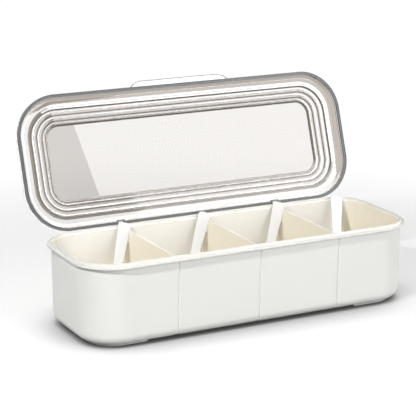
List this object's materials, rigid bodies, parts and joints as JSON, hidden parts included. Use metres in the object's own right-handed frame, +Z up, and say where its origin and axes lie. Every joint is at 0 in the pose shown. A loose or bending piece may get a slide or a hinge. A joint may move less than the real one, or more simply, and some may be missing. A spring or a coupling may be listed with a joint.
{
  "type": "condiment caddy",
  "caption": "Long rounded seasoning box on short pads, its dividers making cells with a loose spoon each, and a stepped clear lid with a grey seal that flips up on a back hinge.",
  "frame": {"origin": "centre of the tub's footprint, on the ground the four pads stand on", "axes": "+X along the tub to the right as seen from the front, +Y to the back where the lid is hinged, +Z up"},
  "size_m": [0.3032, 0.1513, 0.178],
  "materials": {
    "tub": "satin cream white moulding",
    "lid": "polished, nearly clear",
    "seal": "matt",
    "spoon": "glossy white",
    "foot_pad": "matt"
  },
  "bodies": {
    "tub": {"tub": "tub", "foot_pad_front_left": "foot_pad", "foot_pad_front_right": "foot_pad", "foot_pad_back_left": "foot_pad", "foot_pad_back_right": "foot_pad"},
    "lid": {"lid": "lid", "lid_seal": "seal"},
    "spoon_1": {"spoon_1": "spoon"},
    "spoon_2": {"spoon_2": "spoon"},
    "spoon_3": {"spoon_3": "spoon"},
    "spoon_4": {"spoon_4": "spoon"}
  },
  "joints": [
    {"name": "lid_hinge", "type": "hinge", "parent": "tub", "child": "lid", "pos_m": [0, 0.05527, 0.06813], "axis": [-1, 0, 0], "range_deg": [-109.2, 0]},
    {"name": "spoon_1_lift", "type": "slide", "parent": "tub", "child": "spoon_1", "axis": [0, 0, 1], "range_m": [0, 0.07]},
    {"name": "spoon_2_lift", "type": "slide", "parent": "tub", "child": "spoon_2", "axis": [0, 0, 1], "range_m": [0, 0.07]},
    {"name": "spoon_3_lift", "type": "slide", "parent": "tub", "child": "spoon_3", "axis": [0, 0, 1], "range_m": [0, 0.07]},
    {"name": "spoon_4_lift", "type": "slide", "parent": "tub", "child": "spoon_4", "axis": [0, 0, 1], "range_m": [0, 0.07]}
  ]
}
